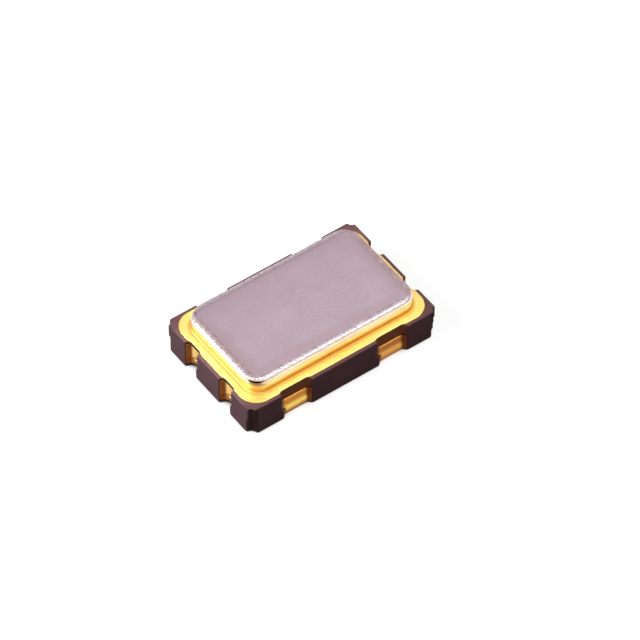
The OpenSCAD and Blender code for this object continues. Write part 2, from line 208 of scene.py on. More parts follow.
def side_counts(side):
    """Points on a plain end, a notch and the middle of one side."""
    return SHORT_COUNTS if SIDES[side][0] else LONG_COUNTS


def side_points(side, half, distance, notches):
    """One side of an outline in the part's frame: straight, notch, straight, notch, straight."""
    end_n, notch_n, middle_n = side_counts(side)
    first, second = notches
    across, inward = np.concatenate([
        run((-half, 0), first[0], end_n), spread(first, notch_n),
        run(first[-1], second[0], middle_n), spread(second, notch_n),
        run(second[-1], (half, 0), end_n)]).T
    nx, ny = SIDES[side]
    out = distance - inward
    return np.stack([nx * out - ny * across, ny * out + nx * across], 1)


def notch_start(side, which):
    """Index of a notch's first point in a sheet's outline."""
    start = 0
    for before in range(side):
        end_n, notch_n, middle_n = side_counts(before)
        start += 2 * end_n + 2 * notch_n + middle_n + CORNER_COUNT
    end_n, notch_n, middle_n = side_counts(side)
    return start + end_n + which * (notch_n + middle_n)


def notches_of(side, low, top_sheet=False):
    """Paths of a side's two castellations. The bottom sheet's are narrower and off centre, and
    the top sheet has wider slots over the short-side ones."""
    nx, ny = SIDES[side]
    step = SHEET_STEP if low else 0.0
    paths = []
    for sign in (-1, 1):
        if ny:
            path = slot_path(sign * TERM_X - step / 2 * ny, LONG_W - step, LONG_D, LONG_R)
        elif top_sheet:
            path = slot_path(sign * TEST_PITCH / 2, 2 * TEST_R, LONG_D, LONG_R)
        else:
            middle, r = sign * TEST_PITCH / 2 + step / 3 * nx, TEST_R - step / 2
            path = np.concatenate([arc(middle, 0, r, 180, 0, 24), [(middle + r, 0.0)]])
        paths.append(path)
    return paths


def sheet_outline(low, corner_r, top_sheet=False):
    """Outer outline of one ceramic sheet, with a hollow of corner_r at each corner."""
    parts = []
    for side, (nx, ny) in enumerate(SIDES):
        along, across = (BASE_W, BASE_L) if nx else (BASE_L, BASE_W)
        parts.append(side_points(side, along / 2 - corner_r, across / 2, notches_of(side, low, top_sheet)))
        corner_x, corner_y = (nx - ny) * BASE_L / 2, (nx + ny) * BASE_W / 2
        start = math.degrees(math.atan2(ny, nx)) - 90
        parts.append(arc(corner_x, corner_y, corner_r, start, start - 90, CORNER_COUNT))
    return soften(np.concatenate(parts), passes=4)


def band_outline():
    """The seal band's outer edge, dipped where castellations notch it."""
    parts = []
    depth = LONG_D - (BASE_L - BAND_L) / 2
    lip, flank, floor = 0.01, 0.02, LONG_R * 0.7
    for side, (nx, ny) in enumerate(SIDES):
        dips = []
        for path in notches_of(side, False, top_sheet=True):
            low, high = path[0, 0], path[-1, 0]
            dips.append(np.array([(low - lip, 0), (low + flank, depth * 0.5), (low + floor, depth),
                                  (high - floor, depth), (high - flank, depth * 0.5), (high + lip, 0)]))
        along, across = (BAND_W, BAND_L) if nx else (BAND_L, BAND_W)
        parts.append(side_points(side, along / 2 - BAND_R, across / 2, dips))
        cx, cy = (nx - ny) * (BAND_L / 2 - BAND_R), (nx + ny) * (BAND_W / 2 - BAND_R)
        start = math.degrees(math.atan2(ny, nx))
        parts.append(arc(cx, cy, BAND_R, start, start + 90, CORNER_COUNT + 18))
    return soften(np.concatenate(parts), passes=6)


class Shell:
    """Gathers the points and faces of one closed skin, in millimetres."""

    def __init__(self):
        self.points, self.faces, self.flat = [], [], []

    def ring(self, loop, z):
        """Adds an outline at a height, or at a height of its own at each point."""
        start = len(self.points)
        self.points += np.column_stack([loop, np.broadcast_to(z, len(loop))]).tolist()
        return range(start, len(self.points))

    def skin(self, *rings):
        """Joins rings of equal count. Outside is to the right of their order, seen along a ring."""
        for a, b in zip(rings, rings[1:]):
            for i in range(len(a)):
                n = (i + 1) % len(a)
                self.add((a[i], a[n], b[n], b[i]), False)

    def fill(self, outer, holes=(), up=True):
        """Flat face inside a ring, round any holes."""
        loops = [outer, *holes]
        rows = [[Vector((*self.points[i][:2], 0.0)) for i in loop] for loop in loops]
        index = [i for loop in loops for i in loop]
        for tri in tessellate_polygon(rows):
            a, b, c = (self.points[index[k]] for k in tri)
            turn = (b[0] - a[0]) * (c[1] - a[1]) - (b[1] - a[1]) * (c[0] - a[0])
            if abs(turn) > 1e-12:
                face = tuple(index[k] for k in tri)
                self.add(face if (turn > 0) == up else face[::-1], True)

    def add(self, face, flat):
        self.faces.append(face)
        self.flat.append(flat)

    def by_ring(self, rings, shares):
        """One number for each point: a ring's share, and 0 away from these rings."""
        values = np.zeros(len(self.points))
        for ring, share in zip(rings, shares):
            values[ring.start:ring.stop] = share
        return values


def add_object(name, data):
    """Puts a mesh, a lamp or a camera into the scene."""
    made = bpy.data.objects.new(name, data)
    bpy.context.scene.collection.objects.link(made)
    return made


def make_piece(name, shell, material, nodes, sharp=35):
    """Makes a mesh object from a shell, and ties it to the frame."""
    mesh = bpy.data.meshes.new(name)
    mesh.from_pydata([(x * MM, y * MM, z * MM) for x, y, z in shell.points], [], shell.faces)
    mesh.polygons.foreach_set("use_smooth", [not flat for flat in shell.flat])
    mesh.set_sharp_from_angle(angle=math.radians(sharp))
    piece = add_object(name, mesh)
    mesh.materials.append(material)
    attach(piece, "root")
    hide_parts(*nodes)
    return piece


def paint(piece, attribute, values):
    """Stores one number for each vertex, for the material to read."""
    layer = piece.data.attributes.new(attribute, "FLOAT", "POINT")
    layer.data.foreach_set("value", np.asarray(values, np.float32))


# ---------- material helpers

def add_node(tree, kind, inputs=(), **settings):
    """Adds a shader node. inputs maps a socket's name or number to a value or another socket."""
    made = tree.nodes.new("ShaderNode" + kind)
    for key, value in settings.items():
        setattr(made, key, value)
    for key, value in dict(inputs).items():
        if isinstance(value, bpy.types.NodeSocket):
            tree.links.new(value, made.inputs[key])
        else:
            made.inputs[key].default_value = value
    return made


def new_material(name, **constants):
    """A material with one Principled shader, whose constants are set on its own sockets."""
    material = bpy.data.materials.new(name)
    material.use_nodes = True
    tree = material.node_tree
    shader = tree.nodes["Principled BSDF"]
    for key, value in constants.items():
        shader.inputs[key.replace("_", " ")].default_value = value
    return material, tree, shader


def connect(shader, colour, roughness, normal):
    """Feeds a Principled shader."""
    for socket, value in (("Base Color", colour), ("Roughness", roughness), ("Normal", normal)):
        shader.id_data.links.new(value, shader.inputs[socket])


def place_mm(tree, stretch=(1, 1, 1)):
    """The part's own coordinates, in millimetres, stretched for streaks."""
    inputs = {0: add_node(tree, "TexCoord").outputs["Object"], 1: tuple(s / MM for s in stretch)}
    return add_node(tree, "VectorMath", inputs, operation="MULTIPLY").outputs[0]


def noise_at(where, per_mm, detail, distortion=0.0):
    """Soft noise from 0 to 1, with about per_mm bumps in a millimetre."""
    inputs = {"Vector": where, "Scale": per_mm, "Detail": detail, "Roughness": 0.55,
              "Distortion": distortion}
    return add_node(where.id_data, "TexNoise", inputs).outputs["Fac"]


def srgb(r, g, b):
    """A colour from its 0 to 255 screen values."""
    return tuple(c / 12.92 if c <= 0.04045 else ((c + 0.055) / 1.055) ** 2.4
                 for c in (r / 255, g / 255, b / 255))


def ramp(value, *stops):
    """Colour ramp between two stops, each of (place, screen colour)."""
    made = add_node(value.id_data, "ValToRGB", {0: value})
    for element, (place, colour) in zip(made.color_ramp.elements, stops):
        element.position = place
        element.color = (*srgb(*colour), 1.0)
    return made.outputs["Color"]


def map_to(value, from_low, from_high, to_low, to_high):
    """Turns one range of values into another, held at both ends."""
    inputs = {"Value": value, "From Min": from_low, "From Max": from_high,
              "To Min": to_low, "To Max": to_high}
    return add_node(value.id_data, "MapRange", inputs).outputs["Result"]


def mix_colour(share, colour, tint):
    """A colour turned into a tint, which is a socket or a screen colour."""
    if not isinstance(tint, bpy.types.NodeSocket):
        tint = (*srgb(*tint), 1.0)
    inputs = {0: share, 6: colour, 7: tint}
    return add_node(share.id_data, "Mix", inputs, data_type="RGBA").outputs[2]


def maths(operation, a, b=0.0):
    """One operation on a socket, and on a number or another socket."""
    return add_node(a.id_data, "Math", {0: a, 1: b}, operation=operation).outputs[0]


def times(a, b):
    return maths("MULTIPLY", a, b)


def plus(a, b):
    return maths("ADD", a, b)


def read_paint(tree, attribute):
    """The numbers that paint() stored."""
    return add_node(tree, "Attribute", attribute_name=attribute).outputs["Fac"]


def bump(height, depth_mm, strength, below=None):
    """Surface relief, on top of the relief below it."""
    inputs = {"Height": height, "Strength": strength, "Distance": depth_mm * MM}
    if below is not None:
        inputs["Normal"] = below
    return add_node(height.id_data, "Bump", inputs).outputs["Normal"]


# A share maker takes a tree and an uneven noise, and returns a socket from 0 to 1.

def by_height(low, high):
    """Share that grows from 0 at one height to 1 at another, a little uneven."""
    def make(tree, uneven):
        coords = add_node(tree, "TexCoord").outputs["Object"]
        z = add_node(tree, "SeparateXYZ", {0: coords}).outputs[2]
        sway = times(maths("SUBTRACT", uneven, 0.5), 0.05 * MM)
        return map_to(plus(z, sway), low * MM, high * MM, 0.0, 1.0)
    return make


def by_paint(attribute, most=1.0):
    """Share that is a paint's value, up to a most."""
    def make(tree, uneven):
        return times(read_paint(tree, attribute), most)
    return make


def product(first, second):
    """Share that is the product of two others."""
    def make(tree, uneven):
        return times(first(tree, uneven), second(tree, uneven))
    return make


def tinted(colour, tints, uneven=None):
    """A colour with tints mixed over it. tints: (share maker, screen colour) pairs."""
    for make_share, tint in tints:
        colour = mix_colour(make_share(colour.id_data, uneven), colour, tint)
    return colour


# ---------- materials

def ceramic_material():
    """Plum-black co-fired alumina: fine grain, pigment specks, and paints for a rim that is partly wear
    and partly painted highlight, painted shade in recesses, brown slots and a painted sheen on the short
    sides.
    """
    material, tree, shader = new_material("fired_ceramic", Specular_IOR_Level=0.05)
    place = place_mm(tree)
    grain = noise_at(place, 26, 5)
    mottle = noise_at(place, 2.2, 3)
    streaks = noise_at(place_mm(tree, (1, 1, 0.12)), 22, 3)
    specks = add_node(tree, "TexVoronoi", {"Vector": place, "Scale": 16}).outputs["Distance"]
    body = ramp(mottle, (0.3, (74, 45, 48)), (0.7, (87, 56, 60)))
    grained = mix_colour(map_to(grain, 0.3, 0.75, 0.0, 0.4), body, (100, 70, 72))
    speckled = mix_colour(map_to(specks, 0.05, 0.14, 0.3, 0.0), grained, (140, 114, 118))
    # The rim tint is partly wear and partly painted highlight, the near-black tint is painted shade in
    # recesses, the pale mauve tint is a painted sheen on the short sides
    colour = tinted(speckled, [
        (by_paint("rim", 0.8), (170, 124, 122)), (by_paint("cut", 0.95), (38, 22, 18)),
        (by_paint("slot", 0.9), (140, 78, 42)), (by_paint("short_side_sheen"), (132, 124, 138))])
    relief = bump(streaks, 0.005, 0.4, bump(grain, 0.005, 0.6))
    connect(shader, colour, map_to(grain, 0.3, 0.7, 0.46, 0.66), relief)
    return material


def gold_material(name, pale, deep, rough, grain_depth, streak, tints):
    """Gold plate over sintered metal: grainy and cloudy, with tints mixed in.
    rough: lowest and highest roughness. streak: stretch of the fine lines."""
    material, tree, shader = new_material(name, Metallic=1.0)
    place = place_mm(tree)
    grain = noise_at(place, 34, 4)
    clouds = noise_at(place, 3.0, 3, distortion=0.6)
    lines = noise_at(place_mm(tree, streak), 16, 3)
    tone = plus(times(clouds, 0.7), times(lines, 0.3))
    colour = tinted(ramp(tone, (0.3, deep), (0.62, pale)), tints, lines)
    mixed = plus(times(grain, 0.6), times(clouds, 0.4))
    relief = bump(lines, grain_depth, 0.6, bump(grain, grain_depth, 0.8))
    connect(shader, colour, map_to(mixed, 0.35, 0.65, *rough), relief)
    return material


def band_gold():
    """Pale, matt gold of the printed band, with painted shade: deeper at its edges, corners and the
    fillet's toe, and darker past the ring where the lid's shadow falls.
    """
    return gold_material("band_gold", (255, 242, 156), (254, 224, 122), (0.38, 0.52), 0.0055, (1, 1, 1), [
        # Painted shade: deeper at the corners, darker past the ring where the lid's shadow falls, and
        # deeper at the band's edge and the fillet's toe
        (by_paint("turn", 0.9), (248, 204, 104)),
        (by_paint("painted_lid_shadow", 0.6), (216, 170, 106)),
        (by_paint("edge_and_toe_shade", 0.7), (240, 180, 84))])


def ring_gold():
    """Smoother gold of the stamped ring, with painted light: painted shade makes the short sides greyer,
    the -X -Y corner deeper and the lid's gap dark; painted highlights and reflections make the short
    sides' top whiter and the corners and the part towards the lid paler.
    """
    short = by_paint("short_side")
    return gold_material("ring_gold", (230, 184, 112), (220, 172, 100), (0.26, 0.38), 0.003, (1, 1, 0.1), [
        # Painted light: shade on the short sides, reflection at the corners, highlight towards the lid and
        # whiter at the short sides' top, shade at the -X -Y corner and in the lid's gap
        (by_paint("short_side", 0.9), (206, 166, 120)),
        (by_paint("turn", 0.8), (230, 190, 124)),
        (by_height(Z_LID - 0.2, Z_LID - 0.08), (249, 236, 212)),
        (product(short, by_height(Z_LID - 0.2, Z_LID - 0.12)), (226, 206, 194)),
        (product(short, by_height(Z_LID - 0.09, Z_LID - 0.03)), (242, 238, 244)),
        (by_paint("near", 0.8), (236, 192, 118)),
        (by_paint("gap_shade", 0.8), (120, 70, 36))])


def terminal_gold():
    """Gold of the pads and long castellations, with painted light: a highlight along the seam and on the
    upper rim, shade above the seam, at the foot, at the lining's ends and on the +X terminals.
    """
    # Painted shade above the seam, and a painted highlight along the seam
    upper = by_height(Z_FLOOR + 0.01, Z_FLOOR + 0.09)
    seam = product(by_height(0.13, 0.18), by_height(0.28, 0.21))
    return gold_material("terminal_gold", (250, 200, 104), (236, 176, 84), (0.34, 0.48), 0.005,
                         (1, 1, 0.3), [
        # Painted light: shade above the seam, at the lining's foot, on the +X terminals and at the
        # lining's ends; highlight along the seam and on the upper rim
        (upper, (206, 136, 40)),
        (product(by_paint("lining"), by_height(0.16, 0.05)), (170, 108, 24)),
        (seam, (255, 226, 116)),
        (by_paint("tone", 0.58), (204, 126, 58)),
        (product(by_paint("tone", 0.9), upper), (180, 106, 34)),
        (by_paint("lip", 0.6), (250, 200, 124)),
        (by_paint("lining_end_shade", 0.95), (92, 34, 0))])


def test_gold():
    """Gold of the short-side castellations, with painted shade at the foot and at the ends of the lining.
    """
    # Painted shade at the foot and at the lining's ends
    return gold_material("test_terminal_gold", (255, 218, 132), (248, 200, 112), (0.34, 0.48), 0.005,
                         (1, 1, 0.3), [(by_paint("foot", 0.92), (148, 96, 54)),
                                       (by_paint("lining_end_shade", 0.95), (124, 58, 2))])


def braze_gold():
    """Orange braze alloy with gold drawn into it, with a painted highlight that makes it paler on the
    short sides.
    """
    # Painted highlight on the short sides
    return gold_material("braze_alloy", (220, 160, 74), (202, 136, 54), (0.38, 0.5), 0.004, (1, 1, 1),
                         [(by_paint("short_side", 0.9), (228, 184, 96))])


def plate_colour(tree, place, rolled, clouds):
    """The lid's satin sheet: rolled lines and mottling, darker and warmer near the weld, and a painted
    shade that darkens it towards +Y.
    """
    x, y, _ = add_node(tree, "SeparateXYZ", {0: place}).outputs
    from_end = plus(times(maths("ABSOLUTE", x), -1.0), LID_L / 2)
    from_side = plus(times(maths("ABSOLUTE", y), -1.0), LID_W / 2)
    from_edge = plus(maths("MINIMUM", from_end, from_side), times(clouds, 0.2))
    near_weld = map_to(from_edge, 0.25, 0.54, 0.95, 0.0)
    mottle = noise_at(place, 15, 2)
    colour = ramp(clouds, (0.3, (168, 150, 160)), (0.7, (180, 162, 172)))
    for share, tint in ((map_to(rolled, 0.35, 0.65, 0.0, 0.35), (170, 150, 160)),
                        (map_to(mottle, 0.35, 0.65, 0.0, 0.25), (196, 172, 190)),
                        (times(near_weld, map_to(y, 0.3, 1.1, 1.0, 0.45)), (168, 144, 151)),
                        # Painted shade, darker towards +Y
                        (map_to(y, 0.0, 1.15, 0.0, 0.4), (160, 137, 149))):
        colour = mix_colour(share, colour, tint)
    return colour


def bead_colour(tree, smears):
    """The weld's melted bead: smeared, with painted highlights where it faces the light and on its ridges.
    """
    long_bead = ramp(smears, (0.35, (166, 148, 156)), (0.65, (184, 166, 174)))
    short_bead = ramp(smears, (0.35, (166, 142, 146)), (0.65, (186, 162, 166)))
    bead = mix_colour(read_paint(tree, "second_pass"), long_bead, short_bead)
    # Painted highlight where the bead faces the light, brightest on its ridges
    bright = read_paint(tree, "bright")
    lit_bead = mix_colour(times(bright, 0.26), bead, (236, 226, 232))
    crest = times(map_to(read_paint(tree, "ridge"), 0.15, 0.85, 0.0, 1.1), bright)
    return mix_colour(crest, lit_bead, (250, 242, 248))


def lid_material():
    """Nickel-plated lid: satin rolled sheet, with a smoother, melted weld track round its border."""
    material, tree, shader = new_material("lid_nickel", Metallic=1.0)
    place = place_mm(tree)
    rolled = noise_at(place_mm(tree, (0.06, 1, 1)), 34, 4)
    grain = noise_at(place, 40, 4)
    clouds = noise_at(place, 1.3, 4, distortion=0.4)
    smears = noise_at(place, 9, 3, distortion=0.5)
    weld = read_paint(tree, "weld")
    joined = mix_colour(weld, plate_colour(tree, place, rolled, clouds), bead_colour(tree, smears))
    # Painted shade in the groove inside the weld and in the gap under the lid's edge, and a painted
    # highlight on the lid's outer edge
    colour = tinted(joined, [
        (by_paint("edge", 0.85), (250, 226, 188)), (by_paint("groove", 0.6), (128, 108, 116)),
        (by_paint("gap_shade"), (96, 60, 46))])
    satin = map_to(grain, 0.3, 0.7, 0.4, 0.52)
    melted = map_to(smears, 0.3, 0.7, 0.2, 0.34)
    rough = add_node(tree, "Mix", {0: weld, 2: satin, 3: melted}).outputs[0]
    relief = bump(rolled, 0.002, 0.5, bump(grain, 0.0025, 0.6))
    connect(shader, colour, rough, relief)
    return material


def inner_material(name, low, high, per_mm, metallic, rough, depth, constants=()):
    """Grainy two-tone material for the pieces sealed inside."""
    material, tree, shader = new_material(name, Metallic=metallic, **dict(constants))
    grain = noise_at(place_mm(tree), per_mm, 4)
    roughness = map_to(grain, 0.3, 0.7, rough - 0.06, rough + 0.06)
    connect(shader, ramp(grain, (0.32, low), (0.68, high)), roughness, bump(grain, depth, 0.7))
    return material


# ---------- ceramic base

TOP_EDGE, FOOT_EDGE = 0.026, 0.01


def ceramic_levels():
    """The base's outer wall from the bottom up: (height, sheet outline, distance drawn in)."""
    low, tall = sheet_outline(True, CORNER_LOW_R), sheet_outline(False, CORNER_LOW_R)
    slim, top = sheet_outline(False, CORNER_TOP_R), sheet_outline(False, CORNER_TOP_R, top_sheet=True)
    seam, clear = 0.005, 0.01
    walls = [(Z_BASE + TOP_EDGE + clear, Z_FLOOR - seam, low), (Z_FLOOR + seam, Z_LEDGE - seam, tall),
             (Z_LEDGE + seam, Z_SHELF - seam, slim), (Z_SHELF + seam, Z_TOP - TOP_EDGE - clear, top)]
    rounding = [(1 - math.cos(turn), 1 - math.sin(turn)) for turn in np.radians((0, 22, 45, 68, 90))]
    levels = [(Z_BASE + FOOT_EDGE * up, low, FOOT_EDGE * back) for up, back in rounding]
    for z_from, z_to, outline in walls:
        levels += [(z, outline, 0.0) for z in np.linspace(z_from, z_to, 5)]
    return levels + [(Z_TOP - TOP_EDGE * up, top, TOP_EDGE * back) for up, back in rounding[::-1]]


def cavity_rings(shell):
    """The stepped cavity's wall, from its mouth down to the floor of the chip's well."""
    # Keeps the wall under a ledge from coinciding with the one above
    slack = 0.004
    rings = []
    for length, width, z_high, z_low, centre in (
            (CAVITY_L, CAVITY_W, Z_TOP, Z_SHELF, 0.0),
            (CAVITY_L - SHELF_L, CAVITY_W - slack, Z_SHELF, Z_LEDGE, SHELF_L / 2 - slack),
            (WELL_L, WELL_W, Z_LEDGE, Z_FLOOR, CHIP_X)):
        loop = rounded(length, width, CAVITY_R, (12, 24, 6), centre)
        rings += [shell.ring(loop, z_high), shell.ring(loop, z_low)]
    shell.skin(*rings)
    return rings


def build_ceramic(material):
    """The fired base: four sheets with notched edges outside and a stepped cavity inside."""
    levels = ceramic_levels()
    shell = Shell()
    rings = [shell.ring(inset(levels[0][1], FOOT_EDGE + 0.012, passes=6), Z_BASE)]
    for z, outline, back in levels:
        rough = waves(outline, (0.003, 0.25, 1), (0.0015, 0.05, 2), z=z)
        chips = np.maximum(waves(outline, (0.01, 0.11, 3)) - 0.003, 0) if back > 0 else 0.0
        worn = inset(outline, back + np.abs(rough) + chips, passes=2 if back else 0)
        rings.append(shell.ring(worn, z))
    rings.append(shell.ring(inset(levels[-1][1], TOP_EDGE + 0.008, passes=6), Z_TOP))
    shell.skin(*rings)
    # A ring that the band covers, out to which the painted rim is even
    under = 0.085
    covered = rounded(BAND_L - 2 * under, BAND_W - 2 * under, BAND_R - under, (12, 24, 16))
    under_band = shell.ring(covered, Z_TOP)
    cavity = cavity_rings(shell)
    shell.fill(rings[-1], [under_band])
    shell.fill(under_band, [cavity[0]])
    shell.fill(cavity[-1])
    shell.fill(rings[0], up=False)
    body = make_piece("ceramic_body", shell, material, ["ceramic_base"])
    # Rim paint on the rounded top edge, partly wear and partly painted highlight
    rim = shell.by_ring(rings[-6:], (0.05, 0.25, 0.5, 0.6, 0.65, 0.65))
    paint_ceramic(body, np.array(shell.points), rim)
    return body


def paint_ceramic(body, points, rim):
    """Paints of the base: its rim, partly wear and partly painted highlight; painted shade in the corner
    recesses, short-side castellations and cavity; brown long-side slots; a painted sheen on the short
    sides.
    """
    x, y, z = np.abs(points[:, 0]), np.abs(points[:, 1]), points[:, 2]
    from_end, from_side = BASE_L / 2 - x, BASE_W / 2 - y
    depth, off_corner = np.minimum(from_end, from_side), np.hypot(from_end, from_side)
    to_long = np.arctan2(from_end, from_side) / (math.pi / 2)
    to_short = fade(from_side - from_end, -0.45, 0.45)
    near_short = from_end < from_side
    on_long = from_side < LONG_D + 0.01
    above_foot = z > Z_BASE + 0.02
    wall = above_foot & (z < Z_TOP - 0.03)

    at_corner = np.maximum(from_end, from_side) < 0.19
    in_hollow = at_corner * fade(off_corner, 0.1, 0.11) * fade(off_corner, 0.215, 0.185)
    in_slot = ~at_corner * fade(depth, 0.06, 0.09) * wall
    below_rim = above_foot & (z < Z_TOP - 0.006)
    # Painted shade on the side of each corner recess that faces away from the light, and on the walls of
    # the short-side castellations and of the cavity
    paint(body, "cut", in_hollow * below_rim * fade(to_long, 0.08, 0.33) + 0.8 * in_slot * ~on_long)
    paint(body, "slot", in_slot * on_long)

    # Partly wear, partly painted highlight: stronger on the short sides and on the lit side of the corner
    # recesses, weaker near the corners
    rim = rim * np.where(off_corner < 0.3, 0.35, np.where(near_short, 1.2, 0.75))
    rim += 0.06 * in_hollow * wall * fade(to_long, 0.25, 0)
    flat_top = (z > Z_TOP - 0.004) & (depth > TOP_EDGE - 0.004)
    flat_rim = (0.5 + 0.34 * to_short) * (1 - 0.3 * fade(off_corner, 0.4, 0.25))
    paint(body, "rim", np.where(flat_top, flat_rim, rim))

    # Painted sheen on the short walls below the top edge, and on the top towards the short sides
    high = fade(z, Z_TOP - 0.03, Z_TOP - 0.01)
    paint(body, "short_side_sheen", 0.085 * near_short * (1 - high) * (1 - in_hollow) + 0.22 * to_short * high)


# ---------- band, braze and ring

def nearest(loop, length, width, r):
    """For each point outside a rounded rectangle, the nearest point on it."""
    core = np.clip(loop, (r - length / 2, r - width / 2), (length / 2 - r, width / 2 - r))
    reach = loop - core
    return core + r * reach / np.hypot(*reach.T)[:, None]


# Reach of the painted corner tints, shade on the band and reflection on the ring, and height of the gap
# under the lid
TURN_R, LID_GAP = 0.4, 0.012


def on_short_side(points):
    """Share that is 1 along the frame's two short sides."""
    return fade(np.abs(points[:, 0]), RING_L / 2 - 0.34, RING_L / 2 - 0.04)


def near_gap(points):
    """Share of the gap left under the lid at the first terminal's corner, where the weld pulled up."""
    off, reach = 0.12, 0.17
    x, y = points[:, 0] + LID_L / 2 - off, points[:, 1] + LID_W / 2 - off
    return np.exp(-((x / reach) ** 2 + (y / reach) ** 2) ** 2)


def build_band(material):
    """Gold-plated seal band: a printed layer with a soft, slightly uneven edge."""
    outer = band_outline()
    outer = inset(outer, 0.004 - waves(outer, (0.005, 0.12, 4), (0.003, 0.04, 5)), passes=0)
    edge, rim_in, toe_out = 0.022, 0.03, 0.03
    shell = Shell()
    rings = [shell.ring(inset(outer, 0.02), Z_TOP)]
    for turn in np.radians((0, 30, 55, 75, 90)):
        back, up = edge * (1 - math.cos(turn)), PLATE_T * math.sin(turn)
        rings.append(shell.ring(inset(outer, back, passes=1), Z_TOP + up))
    rim = inset(outer, rim_in, passes=4)
    toe = nearest(rim, RING_L + 2 * toe_out, RING_W + 2 * toe_out, RING_R + toe_out)
    for share in (0.0, 0.33, 0.66, 1.0):
        rings.append(shell.ring(rim + (toe - rim) * share, Z_BAND))
    shell.skin(*rings)
    hole = rounded(CAVITY_L + 2 * BAND_MARGIN, CAVITY_W + 2 * BAND_MARGIN,
                   CAVITY_R + BAND_MARGIN, (12, 24, 8))
    upper, lower = shell.ring(hole, Z_BAND), shell.ring(hole, Z_TOP)
    shell.skin(upper, lower)
    shell.fill(rings[-1], [upper])
    shell.fill(rings[0], [lower], up=False)
    band = make_piece("gold_seal_band", shell, material, ["seal_band"])
    points = np.array(shell.points)
    at_toe = shell.by_ring([rings[-1]], [1.0])
    # Painted shade on the band's rounded edge and at the fillet's toe, less at the toe on the short sides
    edge_and_toe_shares = (0.3, 0.4, 0.5, 0.5, 0.4, 0.3, 0.1, 0.0, 0.12, 0.8, 1.0, 1.0)
    edge_and_toe_shade = shell.by_ring([*rings, upper, lower], edge_and_toe_shares)
    paint(band, "edge_and_toe_shade", edge_and_toe_shade * (1 - 0.85 * at_toe * on_short_side(points)))
    # Painted shade at the corners
    paint(band, "turn", spot(np.abs(points), BAND_L / 2, BAND_W / 2, TURN_R))
    # Painted shadow of the lid past the ring, at the +X end
    past_ring = fade(points[:, 0], RING_L / 2 - 0.02, RING_L / 2 + 0.03)
    paint(band, "painted_lid_shadow", past_ring * fade(points[:, 1], -1.3, -0.85))
    return band


def frame_shell(make_rows):
    """Closed skin of a frame, from the rows of rings made for its outer and its inner side."""
    shell = Shell()
    outer = rounded(RING_L, RING_W, RING_R, FINE_COUNTS)
    inner = rounded(RING_L - 2 * RING_SECTION, RING_W - 2 * RING_SECTION, RING_IN_R, FINE_COUNTS)
    outer_rows = make_rows(shell, outer, outward(outer), 6)
    inner_rows = make_rows(shell, inner, -outward(inner), 7)
    rings = outer_rows + inner_rows[::-1]
    shell.skin(*rings, rings[0])
    return shell


def braze_rows(shell, loop, away, seed):
    """Rings of a wetted, uneven fillet from its toe on the band up to the ring's wall."""
    reach = 0.056 + waves(loop, (0.012, 0.35, seed), (0.005, 0.08, seed + 10))
    climb = 0.062 + waves(loop, (0.014, 0.45, seed + 20))
    toe, sunk, hidden = 0.0015, 0.006, 0.02
    rows = [shell.ring(loop + away * reach[:, None], Z_BAND)]
    for turn in np.linspace(0, math.pi / 2, 9):
        out = (reach + sunk) * (1 - math.sin(turn)) - sunk
        z = Z_BAND + toe + climb * (1 - math.cos(turn))
        rows.append(shell.ring(loop + away * out[:, None], z))
    return rows + [shell.ring(loop - away * hidden, Z_RING + 0.03)]


def build_braze(material):
    """Braze under the ring, with a fillet at its foot."""
    shell = frame_shell(braze_rows)
    fillet = make_piece("braze_fillet", shell, material, ["braze_joint"])
    # Painted highlight on the short sides
    paint(fillet, "short_side", on_short_side(np.array(shell.points)))
    return fillet


def ring_rows(shell, loop, away, seed):
    """Rings of a faintly uneven wall with a rounded shoulder, sagging where the lid's gap is."""
    shoulder, back, under_lid = 0.035, 0.004, 0.09
    sag = LID_GAP * near_gap(loop)
    rows = []
    for up in (0.0, 0.06, 0.12, 0.18, Z_LID - Z_RING - shoulder):
        sway = waves(loop, (0.003, 0.5, seed + 2), z=up) - back
        rows.append(shell.ring(loop + away * sway[:, None], Z_RING + up))
    for share in np.linspace(0, 1, 6)[1:]:
        turn = share * math.pi / 2
        top = Z_LID - shoulder * (1 - math.sin(turn)) - share * sag
        rows.append(shell.ring(loop - away * (back + shoulder * (1 - math.cos(turn))), top))
    return rows + [shell.ring(loop - away * under_lid, Z_LID - sag)]


def build_ring(material):
    """Seal ring: a stamped frame under the lid."""
    shell = frame_shell(ring_rows)
    ring = make_piece("gold_seal_ring", shell, material, ["seal_ring"])
    points = np.array(shell.points)
    # Painted reflection at the corners, painted tones on the short sides, painted shade at the -X -Y
    # corner
    paint(ring, "turn", spot(np.abs(points), RING_L / 2, RING_W / 2, TURN_R))
    paint(ring, "short_side", on_short_side(points))
    paint(ring, "near", spot(points, -RING_L / 2, -RING_W / 2, 0.36))
    # Painted shade in the gap under the lid
    paint(ring, "gap_shade", near_gap(points) * fade(points[:, 2], Z_LID - 0.05, Z_LID - 0.03))
    return ring


# ---------- lid

# Length of a weld pulse, curve of its ripple, and depth of its dish on top and at the edge
RIPPLE_PITCH, RIPPLE_CURVE = 0.19, 0.28
DISH_TOP, DISH_EDGE = 0.006, 0.004

# The lid's skin from underneath, round its edge and in to the plate: (distance in, height)
LID_PROFILE = [
    (0.3, 0.0), (0.05, 0.0), (0.026, 0.002), (0.01, 0.01), (0.002, 0.024), (0.0, 0.038),
    (0.003, 0.052), (0.01, 0.065), (0.02, 0.075), (0.032, 0.082), (0.046, 0.086), (0.062, 0.088),
    (0.078, 0.09), (0.094, 0.092), (0.108, 0.093), (0.12, 0.094), (0.13, 0.0945), (0.139, 0.095),
    (0.147, 0.0955), (0.158, 0.0965), (0.175, 0.0975), (0.2, 0.099), (0.23, 0.1), (0.26, 0.1)]
# How far in the melted edge reaches
EDGE_IN = 0.06


